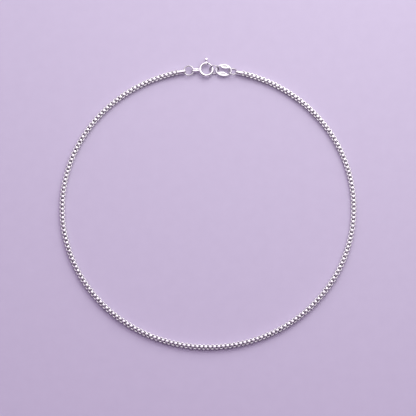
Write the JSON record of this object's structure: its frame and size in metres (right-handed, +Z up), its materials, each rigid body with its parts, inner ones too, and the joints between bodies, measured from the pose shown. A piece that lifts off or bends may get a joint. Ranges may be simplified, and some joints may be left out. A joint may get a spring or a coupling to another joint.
{
  "type": "chain anklet",
  "caption": "Fastened loop of square-link silver box chain with a spring ring clasp, thin joining rings and a pierced oval tag.",
  "frame": {"origin": "middle of the anklet's box on the surface that it lies on", "axes": "+Z up from the surface; +Y towards the clasp; +X to the right, towards the oval tag's side of the clasp"},
  "size_m": [0.092, 0.092, 0.002],
  "materials": {
    "chain_silver": "polished sterling silver box chain, darker in the links' holes",
    "cap_silver": "polished sterling silver with soft rounded edges",
    "ring_silver": "drawn sterling silver wire, polished",
    "clasp_silver": "high-polish sterling silver tube",
    "bolt_silver": "polished sterling silver wire",
    "tag_silver": "polished sterling silver sheet, lightly scratched"
  },
  "bodies": {
    "anklet": {"chain_right": "chain_silver", "chain_left": "chain_silver", "end_cap_left": "cap_silver", "end_cap_right": "cap_silver", "jump_ring": "ring_silver", "connector_ring": "ring_silver", "end_ring": "ring_silver", "spring_ring": "clasp_silver", "oval_tag": "tag_silver"},
    "bolt": {"spring_bolt": "bolt_silver"}
  },
  "joints": [
    {"name": "bolt_slide", "type": "hinge", "parent": "anklet", "child": "bolt", "pos_m": [-0.00053, 0.04226, 0.0011], "axis": [0, 0, 1], "range_deg": [0, 60], "stiffness_Nm_per_rad": 0.0008}
  ]
}
